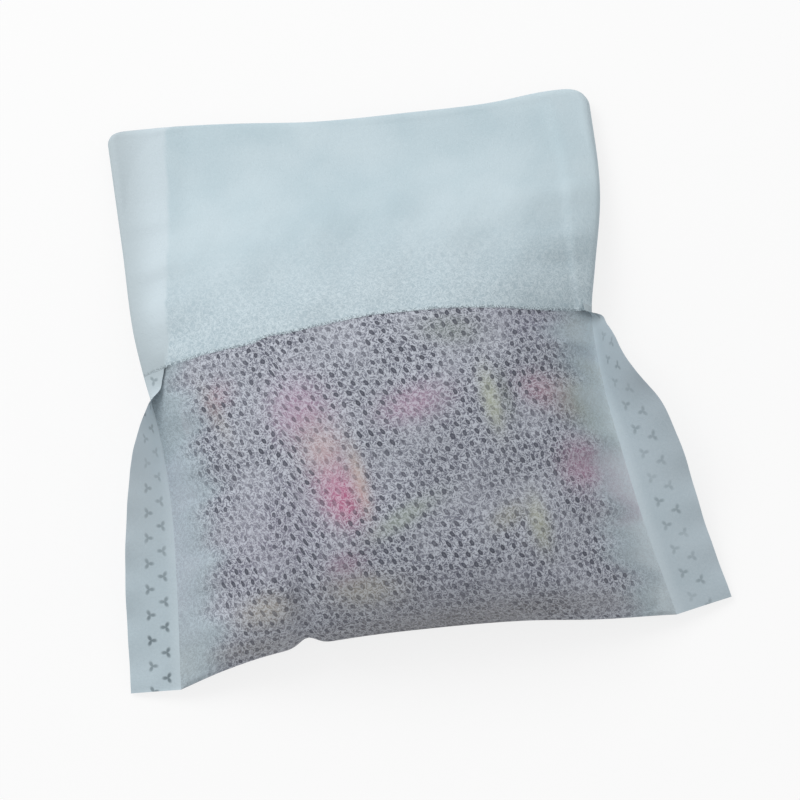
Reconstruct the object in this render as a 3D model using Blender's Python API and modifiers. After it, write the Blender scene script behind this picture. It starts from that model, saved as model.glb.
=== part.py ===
"""A filled tea bag of non-woven web, lying on its back.

One web makes the back panel, the front panel and the closing hood. The hood has been
turned over the mouth, so its sealed side strips lie inside it, and below it they stand
out as fins. Metres, +Z up, width along X, hood towards +Y.
"""

import itertools
import math

import bmesh
import bpy
import numpy as np

MM = 0.001
SQUARE = 1.0 * MM  # the tables of the plan, the heights and the leaves are drawn on squares of this size

# The web
WEB = 0.22 * MM
PLY = 0.5 * MM  # middle to middle of two webs that lie on each other
LEFT_SEAL = 8.0 * MM
RIGHT_SEAL = 9.2 * MM
DROOP = 0.055  # how far a fin's edge sags, as a share of its width

# Where the panels fold, from the bottom fold at 0 to the top fold at 1
HOOD_EDGE = 0.556  # the hood's free edge at the right seam
BENT_FROM, BENT_TO = 0.25, 0.85  # where the grid's lines bend with that edge
MOUTH_EDGE = 0.92  # the front panel's own edge, inside the hood
LAST_ROW = 1.3 * MM  # from the top fold to the row under it

# How full the pouch is
SEAM_RISE = 6.0 * MM  # the side seams' height over the table
CROWN = 20.0 * MM  # the front panel's height over the table
FOLD_RISE = 5.5 * MM  # the bottom fold's height over the table
TOP_RISE = 1.7 * MM  # the top fold's height over the table
FLAT_SHARE = 0.55  # of the half width, where the back panel leaves the table
FOLD_REACH = 0.11  # of the length, where the back panel has come down from the bottom fold
ROUND_END = 0.085  # of the length, where the front panel has risen from the bottom fold
HOOD_FROM = 0.62  # of the length, where the back panel starts to lift towards the top fold
PILLOW = 3.0  # how square the front panel's section is
FOOT, HOOD_FOOT = 1.25, 0.86  # how softly it rises from the seams, below and inside the hood
LUMP = 0.5 * MM
GATHER, GATHER_PITCH = 0.35 * MM, 8.5 * MM

# Grid
ACROSS = 22
POUCH_ROWS = 23
HOOD_ROWS = 11
SEAL_COLUMNS = 3

# What lies under the front panel
CLEAR = 0.3 * MM
LAYER = 1.4 * MM  # room for single petals and stems over the bed of leaves
CHIP = 0.35 * MM  # thickness of a petal or a leaf
CURL = 0.45 * MM
STEM = 1.0 * MM
CHIP_LONG, CHIP_WIDE = 5, 2
LEAF_LONG, LEAF_WIDE = 6.2 * MM, 2.0 * MM
LEAVES = 20
LEAF_TURNS = 6  # directions tried at each place
GOLDEN = math.radians(137.5)
SPIRAL = 3.1 * MM
BED_ACROSS, BED_FROM, BED_TO = 0.9, 0.045, 0.8
BED_COLUMNS, BED_ROWS = 20, 17
RIDGE = 0.5 * MM  # half the height of the ridges on the bed

# Single pieces that show through the web: x, y, turn, length, width in squares and degrees
PETALS = {
    "bright_petal": (-11.8, -22.0, -77, 9.2, 5.8),
    "soft_petal": (-16.4, -8.2, -64, 8.6, 7.2),
    "middle_petal": (1.9, -9.1, 10, 6.0, 4.4),
    "right_petal_upper": (24.8, -10.4, -40, 7.0, 5.2),
    "right_petal_lower": (25.8, -21.4, -5, 5.4, 3.8),
    "low_petal": (-11.5, -32.6, 5, 4.6, 3.2),
    "left_petal": (-26.0, -2.6, 80, 4.6, 3.4),
}
HUSKS = {
    "petal_base": (-12.6, -14.6, -70, 4.6, 3.4),
    "low_husk": (-9.0, -36.6, -6, 8.0, 3.4),
    "corner_husk": (-24.0, -35.6, 0, 4.8, 3.4),
    "husk_bit_upper": (14.2, -28.3, 30, 4.0, 2.4),
    "husk_bit_lower": (16.2, -32.4, -40, 3.6, 2.2),
    "pale_sliver": (-2.0, -27.3, 24, 10.4, 2.2),
}
GREEN_LEAVES = {
    "green_sliver": (16.4, -10.4, -84, 8.0, 1.6),
    "green_patch": (8.7, 1.8, -5, 7.0, 4.2),
}
STEMS = {
    "left_stick": (-28.6, -4.9, -70, 9.2, 0.3),
    "green_stem": (14.4, -10.4, -84, 8.6, 0.2),
    "pale_stick": (-7.5, -21.7, -83, 10.0, 0.3),
    "right_stick": (19.6, -30.2, -83, 7.0, -0.3),
}

# Plan of the side seams and folds, as (place, value) in squares
LEFT_SEAM = (
    (-45.4, -39.2), (-30, -37.8), (-17, -37.2), (-4, -38.0), (4, -39.4), (10, -40.4), (26, -40.9),
    (46.6, -41.4),
)
RIGHT_SEAM = (
    (-43.9, 38.2), (-30, 35.2), (-18, 33.3), (-6, 31.9), (5, 31.6), (12, 32.8), (24, 35.4),
    (43.6, 36.8),
)
LEFT_CORNER = 2.0 * MM
RIGHT_CORNER = 3.2 * MM
BOTTOM_FOLD = (
    (-39.2, -45.4), (-32, -43.7), (-26, -42.6), (-18, -41.8), (2, -41.7), (14, -42.3), (27, -43.6),
    (38.2, -43.9),
)
TOP_FOLD = (
    (-41.4, 46.6), (-30, 46.3), (-20, 45.4), (-8, 43.9), (8, 43.2), (20, 43.1), (31, 43.9),
    (36.8, 43.6),
)
PINCH_X, PINCH_DEEP, PINCH_WIDE = -18.7 * MM, 1.3 * MM, 1.8 * MM

# The hood's free edge, as (share across, share along)
EDGE_ACROSS = (
    (-1, 0.536), (-0.75, 0.530), (-0.45, 0.524), (-0.25, 0.538), (-0.06, 0.550), (0.16, 0.554),
    (0.6, 0.554), (1, HOOD_EDGE),
)

# Width of each sealed strip along the bag, as shares: it is folded narrower where it has turned
LEFT_WIDTH = (
    (-12, 1), (-6, 0.92), (0, 0.68), (3.5, 0.53), (7, 0.61), (11, 0.72), (21, 0.89), (32, 1.02),
    (46.6, 1.2),
)
RIGHT_WIDTH = (
    (-12, 1), (-7, 0.98), (-2, 0.8), (2, 0.5), (5, 0.42), (12, 0.46), (36, 0.6), (46.6, 0.76),
)

# How far each sealed strip has turned over the front, as (place in squares, degrees)
LEFT_TURN = (
    (-46, -9), (-34, -6), (-27, 5), (-20, 22), (-15, 38), (-11, 51), (-7, 66), (-3.2, 84),
    (-0.5, 103), (2, 124),
)
RIGHT_TURN = (
    (-46, -6), (-31, -4), (-24, 8), (-18, 22), (-13, 38), (-8, 59), (-4, 74), (-1.2, 82), (1.4, 93),
    (3.6, 127),
)
TURNED_WITHIN = 2.5 * MM  # of the last place, where the strip starts to lie on the front panel

# The bag's height along its length, as shares of CROWN and SEAM_RISE
CROWN_ALONG = (
    (-36, 0.80), (-30, 0.93), (-18, 1.0), (-4, 1.0), (6, 0.90), (15, 0.68), (25, 0.43), (34, 0.22),
    (45, 0.1),
)
SEAM_ALONG = ((-45, 0.33), (-36, 0.70), (-22, 1.0), (2, 1.03), (12, 0.88), (26, 0.58), (45, 0.28))


def curve(pairs, at):
    """A smooth line through (place, value) pairs."""
    places, values = np.array(pairs, float).T
    slopes = np.gradient(values, places)
    at = np.clip(np.asarray(at), places[0], places[-1])
    i = np.clip(np.searchsorted(places, at, side="right") - 1, 0, len(places) - 2)
    step = places[i + 1] - places[i]
    s = (at - places[i]) / step
    bend = s * (1 - s)
    return (
        values[i] * (1 - s)
        + values[i + 1] * s
        + bend * (1 - s) * (slopes[i] * step - values[i + 1] + values[i])
        - bend * s * (slopes[i + 1] * step - values[i + 1] + values[i])
    )


def along(pairs, place):
    """The same, for pairs in squares and a place in metres."""
    return curve(pairs, np.asarray(place) / SQUARE)


def smooth(low, high, value):
    s = np.clip((value - low) / (high - low), 0, 1)
    return s * s * (3 - 2 * s)


def fold_y(x):
    pinch = PINCH_DEEP * np.exp(-(((x - PINCH_X) / PINCH_WIDE) ** 2))
    return along(BOTTOM_FOLD, x) * SQUARE + pinch


def top_y(x):
    return along(TOP_FOLD, x) * SQUARE


def rounding(radius, distance):
    """How far a corner of this radius has drawn a side in, at this distance from its end."""
    part = np.clip(1 - distance / radius, 0, 1)
    return radius * (1 - np.sqrt(1 - part**2))


def seams(v):
    """x of the left and right seam at share v of the length."""
    left, right = (
        along(seam, (fold[1] * (1 - v) + seam[-1][0] * v) * SQUARE) * SQUARE
        for seam, fold in ((LEFT_SEAM, BOTTOM_FOLD[0]), (RIGHT_SEAM, BOTTOM_FOLD[-1]))
    )
    to_top = (1 - v) * (LEFT_SEAM[-1][0] - BOTTOM_FOLD[0][1]) * SQUARE
    return left + rounding(LEFT_CORNER, to_top), right - rounding(RIGHT_CORNER, to_top)


def place(t, v):
    """Plan position at share t across, from -1 to 1, and v along."""
    left, right = seams(v)
    x = left + (right - left) * (t + 1) / 2
    low = fold_y(x)
    return x, low + (top_y(x) - low) * v


def shares(x, y):
    """The opposite of place."""
    low = fold_y(x)
    v = np.clip((y - low) / (top_y(x) - low), 0, 1)
    left, right = seams(v)
    return np.clip(2 * (x - left) / (right - left) - 1, -1, 1), v


def seam_height(y):
    return SEAM_RISE * along(SEAM_ALONG, y)


def bottom_fold_height(t, y):
    low = seam_height(y)
    return low + (FOLD_RISE - low) * (1 - np.abs(t) ** 4)


def turn_up(share):
    return smooth(FLAT_SHARE, 1.25, share)


def back_height(t, v):
    """The back panel: flat on the table, turned up to the seams and folds."""
    x, y = place(t, v)
    side = turn_up(np.abs(t)) / turn_up(1.0)
    low = WEB / 2 + (seam_height(y) - WEB / 2) * side
    at_fold = bottom_fold_height(t, fold_y(x))
    under_fold = WEB / 2 + (seam_height(fold_y(x)) - WEB / 2) * side
    bottom = (1 - smooth(0, FOLD_REACH, v)) * (1 - v)
    at_top = TOP_RISE * (1 + 0.25 * np.sin(3.1 * t + 0.6)) * (1 - np.abs(t) ** 6)
    at_top = at_top + seam_height(top_y(x)) * np.abs(t) ** 6
    over_top = WEB / 2 + (seam_height(top_y(x)) - WEB / 2) * side
    return low + bottom * (at_fold - under_fold) + smooth(HOOD_FROM, 1, v) * (at_top - over_top)


def lumps(x, y):
    """What the leaves press into the web, from -1 to 1."""
    a, b = x / SQUARE, y / SQUARE
    return (
        0.45 * np.sin(0.36 * a + 0.23 * b + 0.7)
        + 0.3 * np.sin(0.21 * a - 0.47 * b + 2.1)
        + 0.25 * np.sin(0.58 * a - 0.16 * b + 4.0)
    )


def front_height(t, v):
    """The front panel: a pillow over the leaves, gathered along the seams."""
    x, y = place(t, v)
    seam = seam_height(y)
    end = np.clip(v / ROUND_END, 0, 1)
    rise = (1 - (1 - end) ** 2.2) ** 0.62
    crown = FOLD_RISE + (CROWN * along(CROWN_ALONG, y) - FOLD_RISE) * rise
    foot = FOOT + (HOOD_FOOT - FOOT) * smooth(HOOD_EDGE, HOOD_FROM + 0.1, v)
    across = (1 - np.abs(t) ** PILLOW) ** foot
    height = seam + (crown - seam) * across
    height = np.where(v <= 0, bottom_fold_height(t, y), height)
    loose = smooth(0, 0.1, v) * (1 - smooth(0.72, 0.9, v))
    height = height + LUMP * lumps(x, y) * loose * across
    gather = np.sin(2 * math.pi * y / GATHER_PITCH + 2 * np.sign(t))
    near = np.clip((np.abs(t) - 0.6) / 0.25, 0, 1) * np.clip((1 - np.abs(t)) / 0.12, 0, 1)
    height = height + GATHER * gather * near * loose
    furrow = np.exp(-(((x - PINCH_X) / PINCH_WIDE) ** 2)) * smooth(0, 0.02, v)
    height = height - PINCH_DEEP * furrow * (1 - smooth(0.03, 0.12, v))
    apart = np.minimum((1 - np.abs(t)) / 0.03, 1) * np.minimum(v / 0.005, 1)
    least = back_height(t, v) + PLY * (1 + 0.15 * (1 - t * t)) * apart
    return np.maximum(height, least)


def under_front(x, y, depth):
    """Points at this depth under the front panel, measured square to it."""
    small = 0.25 * SQUARE
    height = front_height(*shares(x, y))
    fall_x = front_height(*shares(x - small, y)) - front_height(*shares(x + small, y))
    fall_y = front_height(*shares(x, y - small)) - front_height(*shares(x, y + small))
    n = np.stack([fall_x, fall_y, np.full_like(height, 2 * small)], -1)
    n = n / np.linalg.norm(n, axis=-1, keepdims=True)
    return np.stack([x, y, height], -1) - n * np.asarray(depth)[..., None]


def stations():
    """Shares across and along of the grid lines. They crowd towards the seams and the folds."""
    turn = 0.82 * math.pi / 2
    t = np.sin(np.linspace(-turn, turn, ACROSS + 1)) / math.sin(turn)
    s = np.linspace(0, 1, POUCH_ROWS + 1)
    pouch = HOOD_EDGE * (0.55 * s**1.3 + 0.45 * (1 - np.cos(math.pi * s)) / 2)
    last = 1 - LAST_ROW / ((TOP_FOLD[3][1] - BOTTOM_FOLD[3][1]) * SQUARE)
    hood = np.linspace(HOOD_EDGE, last, HOOD_ROWS + 1)[1:]
    return t, np.concatenate([pouch, hood, [1.0]])


def bent_shares():
    """The same for all the grid's points, with its lines bent to the hood's free edge."""
    t, v = stations()
    tt, vv = np.meshgrid(t, v)
    near = smooth(BENT_FROM, HOOD_EDGE, vv) * (1 - smooth(HOOD_EDGE, BENT_TO, vv))
    return v, tt, vv + near * (curve(EDGE_ACROSS, tt) - HOOD_EDGE)


def points(t, v, height):
    x, y = place(t, v)
    return np.stack([x, y, height], -1)


def normals(grid):
    """Upward unit normals of a grid of points."""
    side = np.gradient(grid, axis=1)
    up = np.gradient(grid, axis=0)
    n = np.cross(side, up)
    return n / np.linalg.norm(n, axis=-1, keepdims=True)


def add_grid(mesh, grid):
    """Faces over a grid of points."""
    rows = [[mesh.verts.new(point) for point in row] for row in grid]
    for lower, upper in zip(rows, rows[1:]):
        for i in range(len(lower) - 1):
            mesh.faces.new((lower[i], lower[i + 1], upper[i + 1], upper[i]))


def walk(line, distances):
    """Points at these distances along a line of points."""
    steps = np.linalg.norm(np.diff(line, axis=0), axis=1)
    reached = np.concatenate([[0], np.cumsum(steps)])
    return np.stack([np.interp(distances, reached, line[:, k]) for k in range(3)], -1)


def seal_strip(seam, over, turn, side, widths):
    """The sealed strip along one seam. over is the line of points just above the front panel."""
    run = np.gradient(seam, axis=0)[:, :2]
    run = run / np.linalg.norm(run, axis=1, keepdims=True)
    out = np.stack([run[:, 1], -run[:, 0], 0 * run[:, 0]], -1) * side
    strip = []
    for row, (start, width) in enumerate(zip(seam, widths)):
        y = start[1]
        reach = np.linspace(0, width, SEAL_COLUMNS + 1)
        angle = np.radians(along(turn, y))
        droop = DROOP * reach**2 / width * (1 - smooth(0, 40, along(turn, y)))
        straight = start + np.outer(reach * math.cos(angle), out[row])
        straight[:, 2] += reach * math.sin(angle) - droop
        lying = walk(over[row], reach)
        turned = smooth(-TURNED_WITHIN, TURNED_WITHIN / 3, y - turn[-1][0] * SQUARE)
        strip.append(straight * (1 - turned) + lying * turned)
    return np.array(strip)


def web():
    """The whole web as one sheet that branches along the seams, given its thickness."""
    v, tt, vv = bent_shares()
    back = points(tt, vv, back_height(tt, vv))
    front = points(tt, vv, front_height(tt, vv))
    # The panels share one line at each side seam and at each fold.
    for edge in (0, -1):
        back[:, edge, 2] = front[:, edge, 2] = seam_height(back[:, edge, 1])
    back[0] = front[0]
    front[-1] = back[-1]
    up = normals(front)
    inner = slice(1, -1)
    lifted = front.copy()
    lifted[:-1, inner] += PLY * up[:-1, inner]
    left_width = LEFT_SEAL * along(LEFT_WIDTH, front[:, 0, 1])
    right_width = RIGHT_SEAL * along(RIGHT_WIDTH, front[:, -1, 1])
    from_left = (front[..., 0] - front[:, :1, 0]) / left_width[:, None]
    from_right = (front[:, -1:, 0] - front[..., 0]) / right_width[:, None]
    over_strip = 1 - smooth(1, 1.5, np.minimum(from_left, from_right))
    hood = front.copy()
    hood[:-1, inner] += (PLY * (1.1 + 0.9 * over_strip))[:-1, inner, None] * up[:-1, inner]
    edge_row = POUCH_ROWS
    mouth_row = int(np.searchsorted(v, MOUTH_EDGE))
    left = seal_strip(front[:-1, 0], lifted[:-1, :10], LEFT_TURN, -1, left_width)
    right = seal_strip(front[:-1, -1], lifted[:-1, :-10:-1], RIGHT_TURN, 1, right_width)
    mesh = bmesh.new()
    add_grid(mesh, back)
    add_grid(mesh, front[: mouth_row + 1])
    add_grid(mesh, hood[edge_row:])
    add_grid(mesh, left)
    add_grid(mesh, right)
    bmesh.ops.remove_doubles(mesh, verts=mesh.verts, dist=0.002 * SQUARE)
    return mesh


def leaf_bed():
    """The bed of leaves: a sheet of points, thickened down to the back panel, thin at its rim."""
    a, b = np.meshgrid(np.linspace(-1, 1, BED_COLUMNS + 1), np.linspace(-1, 1, BED_ROWS + 1))
    t = BED_ACROSS * a * np.sqrt(1 - 0.2 * b * b)
    v = BED_FROM + (BED_TO - BED_FROM) * (1 + b * np.sqrt(1 - 0.2 * a * a)) / 2
    x, y = place(t, v)
    ridges = np.sin(0.75 * x / SQUARE + 1.3) * np.sin(0.7 * y / SQUARE + 0.4 + 0.25 * x / SQUARE)
    rough = RIDGE * (1 + ridges)
    top = under_front(x, y, WEB / 2 + CLEAR + LAYER + CLEAR + rough)
    low = points(t, v, back_height(t, v) + WEB / 2 + 1.5 * CLEAR)
    rim = np.maximum(np.abs(a), np.abs(b))[..., None]
    swell = np.sqrt(1 - 0.93 * rim**5)
    middle = (top + low) / 2
    mesh = bmesh.new()
    add_grid(mesh, middle + (top - middle) * swell)
    lower = bmesh.ops.extrude_face_region(mesh, geom=mesh.faces[:], use_keep_orig=True)["geom"]
    under = (middle + (low - middle) * swell).reshape(-1, 3)
    for vert, point in zip([g for g in lower if isinstance(g, bmesh.types.BMVert)], under):
        vert.co = point
    bmesh.ops.recalc_face_normals(mesh, faces=mesh.faces)
    return mesh


def chip(x, y, turn, length, width, point, curl):
    """A petal or leaf: an oval grid, pointed at one end, curled across, laid under the front panel."""
    a, b = np.meshgrid(np.linspace(-1, 1, CHIP_LONG + 1), np.linspace(-1, 1, CHIP_WIDE + 1))
    half = width / 2 * (1 - np.abs(a) ** 2.4 * 0.86) * (1 - point * np.clip(a, 0, 1))
    along_it, across_it = a * length / 2, b * half
    c, s = math.cos(math.radians(turn)), math.sin(math.radians(turn))
    px, py = x + c * along_it - s * across_it, y + s * along_it + c * across_it
    lift = curl * (b * b - 0.5) + 0.3 * curl * a
    depth = WEB / 2 + CLEAR + LAYER / 2 - lift
    mesh = bmesh.new()
    add_grid(mesh, under_front(px, py, depth))
    return mesh


def stem(x, y, turn, length, bend):
    """A round stem along a slightly bent line under the front panel."""
    s = np.linspace(-1, 1, 5)
    c, n = math.cos(math.radians(turn)), math.sin(math.radians(turn))
    px = x + c * s * length / 2 - n * bend * (1 - s * s)
    py = y + n * s * length / 2 + c * bend * (1 - s * s)
    curve = bpy.data.curves.new("stem", "CURVE")
    curve.dimensions = "3D"
    curve.bevel_depth = STEM / 2
    curve.bevel_resolution = 1
    curve.use_fill_caps = True
    line = curve.splines.new("POLY")
    line.points.add(len(s) - 1)
    middle = under_front(px, py, np.full_like(px, WEB / 2 + CLEAR + LAYER / 2))
    for control, point in zip(line.points, middle):
        control.co = (*point, 1)
    return curve


def axis_points(x, y, turn, length):
    """Points along the middle line of a petal, leaf or stem."""
    s = np.linspace(-0.5, 0.5, 5) * length
    return np.stack([x + s * math.cos(math.radians(turn)), y + s * math.sin(math.radians(turn))], -1)


def free_spots(taken):
    """Places and angles for the loose dark leaves: a seed-head spiral, wherever a leaf finds room."""
    middle = np.array([-1, -15]) * SQUARE
    spots = []
    for n in itertools.count(1):
        angle = n * GOLDEN
        reach = SPIRAL * math.sqrt(n)
        x, y = middle + np.array([1.15, 0.85]) * reach * np.array([math.cos(angle), math.sin(angle)])
        t, v = shares(x, y)
        if abs(t) > 0.8 or not 0.12 < v < 0.6:
            continue
        for number in range(LEAF_TURNS):
            turn = (math.degrees(angle * 2.7) + 180 * number / LEAF_TURNS) % 180
            line = axis_points(x, y, turn, LEAF_LONG)
            if all(
                np.linalg.norm(line[:, None] - other, axis=-1).min()
                > (LEAF_WIDE + width) / 2 + 2 * CLEAR
                for other, width in taken
            ):
                taken.append((line, LEAF_WIDE))
                spots.append((x, y, turn))
                break
        if len(spots) == LEAVES:
            return spots


def material(name, colour, roughness):
    made = bpy.data.materials.new(name)
    made.use_nodes = True
    shader = made.node_tree.nodes["Principled BSDF"]
    shader.inputs["Base Color"].default_value = (*colour, 1)
    shader.inputs["Roughness"].default_value = roughness
    shader.inputs["Metallic"].default_value = 0
    made.diffuse_color = (*colour, 1)
    return made


def link(name, data, finish):
    data.name = name
    data.materials.append(finish)
    obj = bpy.data.objects.new(name, data)
    parts.objects.link(obj)
    obj.parent = bag
    return obj


def keep(name, mesh, finish, thickness=None, **solidify):
    """One named object from a bmesh, under the bag's own empty."""
    data = bpy.data.meshes.new(name)
    mesh.to_mesh(data)
    mesh.free()
    for face in data.polygons:
        face.use_smooth = True
    obj = link(name, data, finish)
    if thickness:
        shell = obj.modifiers.new("Web", "SOLIDIFY")
        shell.thickness = thickness
        shell.offset = 0
        for key, value in solidify.items():
            setattr(shell, key, value)
    return obj


for old in list(bpy.data.objects):
    bpy.data.objects.remove(old, do_unlink=True)

parts = bpy.data.collections.new("non_woven_tea_filter_bag")
bpy.context.scene.collection.children.link(parts)
bag = bpy.data.objects.new("bag_origin", None)
parts.objects.link(bag)

nonwoven = material("nonwoven_web", (0.62, 0.70, 0.74), 0.85)
dark_leaf = material("dark_tea_leaf", (0.055, 0.05, 0.045), 0.8)
pink_petal = material("pink_petal", (0.62, 0.12, 0.30), 0.6)
pale_husk = material("pale_husk", (0.58, 0.54, 0.34), 0.7)
green_leaf = material("green_leaf", (0.10, 0.18, 0.06), 0.7)

sheet = keep(
    "filter_bag",
    web(),
    nonwoven,
    WEB,
    solidify_mode="NON_MANIFOLD",
    nonmanifold_thickness_mode="EVEN",
    nonmanifold_boundary_mode="NONE",
)
keep("tea_leaf_bed", leaf_bed(), dark_leaf)
taken = []
for group, finish, point, curl in (
    (PETALS, pink_petal, 0.25, CURL),
    (HUSKS, pale_husk, 0.1, -0.6 * CURL),
    (GREEN_LEAVES, green_leaf, 0.3, 0.6 * CURL),
):
    for name, (x, y, turn, length, width) in group.items():
        size = (x * SQUARE, y * SQUARE, turn, length * SQUARE)
        keep(name, chip(*size, width * SQUARE, point, curl), finish, CHIP)
        taken.append((axis_points(*size), width * SQUARE))
for name, (x, y, turn, length, bend) in STEMS.items():
    size = (x * SQUARE, y * SQUARE, turn, length * SQUARE)
    finish = green_leaf if name == "green_stem" else pale_husk
    link(name, stem(*size, bend * SQUARE), finish)
    taken.append((axis_points(*size), STEM))
for number, (x, y, turn) in enumerate(free_spots(taken), 1):
    piece = chip(x, y, turn, LEAF_LONG, LEAF_WIDE, 0.5, CURL)
    keep(f"dark_leaf_{number:02d}", piece, dark_leaf, CHIP)

# The bag's own box is centred over the origin, with its flat back on the table.
bounds = sheet.evaluated_get(bpy.context.evaluated_depsgraph_get()).bound_box
low, high = np.min(bounds, axis=0), np.max(bounds, axis=0)
bag.location = (-(low[0] + high[0]) / 2, -(low[1] + high[1]) / 2, -low[2])
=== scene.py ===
import math

import bpy
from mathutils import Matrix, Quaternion
import numpy as np


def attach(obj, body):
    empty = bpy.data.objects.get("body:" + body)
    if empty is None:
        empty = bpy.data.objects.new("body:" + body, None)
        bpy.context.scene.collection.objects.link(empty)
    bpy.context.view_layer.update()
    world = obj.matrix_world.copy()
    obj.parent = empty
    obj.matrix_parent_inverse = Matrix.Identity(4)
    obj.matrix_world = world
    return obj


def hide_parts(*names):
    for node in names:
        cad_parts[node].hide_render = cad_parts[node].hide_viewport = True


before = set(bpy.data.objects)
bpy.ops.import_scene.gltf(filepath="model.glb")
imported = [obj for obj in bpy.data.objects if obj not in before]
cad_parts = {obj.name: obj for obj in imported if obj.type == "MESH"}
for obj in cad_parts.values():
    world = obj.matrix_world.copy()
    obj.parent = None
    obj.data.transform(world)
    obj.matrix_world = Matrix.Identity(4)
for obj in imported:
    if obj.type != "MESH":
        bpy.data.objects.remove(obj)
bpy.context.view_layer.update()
mm = 0.001

# The bag lies on its back with the hood towards +Y. Lengths in these tables are millimetres.
bag = {
    "middle": (-0.034, -0.6645),  # moves the plan so that the bag's own box is centred
    "web": 0.22,
    "ply": 0.5,  # middle to middle of two webs on each other
    "leftSeal": 8.0,
    "rightSeal": 9.2,
    # each strip's width along the bag, as shares of these: the turned part is folded narrower
    "leftWidth": ((-12, 1), (-8, 0.92), (-4, 0.60), (-1.2, 0.38), (1.4, 0.40), (3.6, 0.57), (6, 0.72),
                  (9.5, 0.82), (16.5, 0.92), (21, 0.98), (33, 1.08), (46.6, 1.2)),
    "rightWidth": ((-12, 1), (-7, 0.98), (-2, 0.8), (2, 0.5), (3.6, 0.42), (5.2, 0.24), (8, 0.30),
                   (14, 0.46), (36, 0.6), (46.6, 0.76)),
    "droop": 0.055,
    "hoodEdge": 0.556,  # shares of the length, from the bottom fold
    "edgeAcross": ((-1, 0.536), (-0.75, 0.530), (-0.45, 0.524), (-0.25, 0.538), (-0.06, 0.550),
                   (0.16, 0.554), (0.6, 0.554), (1, 0.556)),  # the hood's free edge, by place across
    "mouthEdge": 0.92,
    "topRound": 1.3,
    "seamRise": 6.0,
    "crown": 20.0,
    "foldRise": 5.5,
    "topRise": 1.7,
    "flatShare": 0.55,
    "foldReach": 0.11,
    "roundEnd": 0.085,
    "hoodFrom": 0.62,
    "pillow": 3.0,
    "foot": 1.25,  # how softly the front panel rises from the seams
    "hoodFoot": 0.86,  # and inside the hood
    "lump": 0.5,
    "gather": 0.35,
    "gatherPitch": 8.5,
    "leftSeam": ((-45.4, -39.2), (-30, -37.8), (-17, -37.2), (-4, -38.0), (4, -39.3), (10, -40.1),
                 (26, -40.7), (46.6, -41.4)),
    "rightSeam": ((-43.9, 38.2), (-30, 35.2), (-18, 33.3), (-6, 31.9), (5, 31.9), (12, 33.4),
                  (24, 36.0), (43.6, 36.8)),
    "leftCorner": 2.0,
    "rightCorner": 3.2,
    "bottomFold": ((-39.2, -45.4), (-32, -43.7), (-26, -42.6), (-18, -41.8), (2, -41.7),
                   (14, -42.3), (27, -43.6), (38.2, -43.9)),
    "topFold": ((-41.4, 46.6), (-30, 46.3), (-20, 45.4), (-8, 43.9), (8, 43.2), (20, 43.1),
                (31, 43.9), (36.8, 43.6)),
    "pinch": (-18.7, 1.3, 1.8),  # x, depth and width of the small gather in the bottom fold
    "leftTurn": ((-46, -9), (-36, -1), (-30, 11), (-24, 23), (-18, 36), (-13, 48), (-8, 60),
                 (-4, 66), (-1.6, 80), (-0.2, 98), (1.3, 124)),
    "rightTurn": ((-46, -6), (-31, -5), (-24, 4), (-18, 22), (-13, 37), (-8, 60), (-4, 67),
                  (-1.2, 67), (1.4, 66), (3.6, 72), (5.7, 122)),
    "turnedWithin": 2.5,
    "crownAlong": ((-36, 0.80), (-30, 0.93), (-18, 1.0), (-4, 1.0), (6, 0.90), (15, 0.68),
                   (25, 0.43), (34, 0.22), (45, 0.1)),
    "seamAlong": ((-45, 0.33), (-36, 0.70), (-22, 1.0), (2, 1.03), (12, 0.88), (26, 0.58),
                  (45, 0.28)),
}


def lineThrough(pairs, place):
    # a Hermite curve through (place, value) pairs, with the slopes of its neighbours
    places, values = np.array(pairs, float).T
    slopes = np.gradient(values, places)
    at = np.clip(np.asarray(place), places[0], places[-1])
    i = np.clip(np.searchsorted(places, at, side="right") - 1, 0, len(places) - 2)
    step = places[i + 1] - places[i]
    s = (at - places[i]) / step
    bend = s * (1 - s)
    ahead = slopes[i] * step - values[i + 1] + values[i]
    behind = slopes[i + 1] * step - values[i + 1] + values[i]
    return values[i] * (1 - s) + values[i + 1] * s + bend * (1 - s) * ahead - bend * s * behind


def ease(low, high, value):
    s = np.clip((value - low) / (high - low), 0, 1)
    return s * s * (3 - 2 * s)


def roundUp(distance, radius):
    # a quarter circle's rise from 0 to 1 over this distance
    part = np.clip(1 - distance / radius, 0, 1)
    return np.sqrt(1 - part**2)


def bottomY(x):
    at, deep, wide = bag["pinch"]
    return lineThrough(bag["bottomFold"], x) + deep * np.exp(-(((x - at) / wide) ** 2))


def topY(x):
    return lineThrough(bag["topFold"], x)


def seamX(v):
    # both side seams follow their own line, drawn in by the round corners under the top fold
    low = bag["bottomFold"][0][1], bag["bottomFold"][-1][1]
    left = lineThrough(bag["leftSeam"], low[0] * (1 - v) + bag["leftSeam"][-1][0] * v)
    right = lineThrough(bag["rightSeam"], low[1] * (1 - v) + bag["rightSeam"][-1][0] * v)
    toTop = (1 - v) * (bag["leftSeam"][-1][0] - low[0])
    leftCorner, rightCorner = bag["leftCorner"], bag["rightCorner"]
    left = left + leftCorner * (1 - roundUp(toTop, leftCorner))
    return left, right - rightCorner * (1 - roundUp(toTop, rightCorner))


def planOf(t, v):
    # t runs across from -1 to 1 between the seams, v along from the bottom fold to the top fold
    left, right = seamX(v)
    x = left + (right - left) * (t + 1) / 2
    low = bottomY(x)
    return x, low + (topY(x) - low) * v


def sharesOf(x, y):
    low = bottomY(x)
    v = np.clip((y - low) / (topY(x) - low), 0, 1)
    left, right = seamX(v)
    return np.clip(2 * (x - left) / (right - left) - 1, -1, 1), v


def seamHeight(y):
    return bag["seamRise"] * lineThrough(bag["seamAlong"], y)


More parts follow.
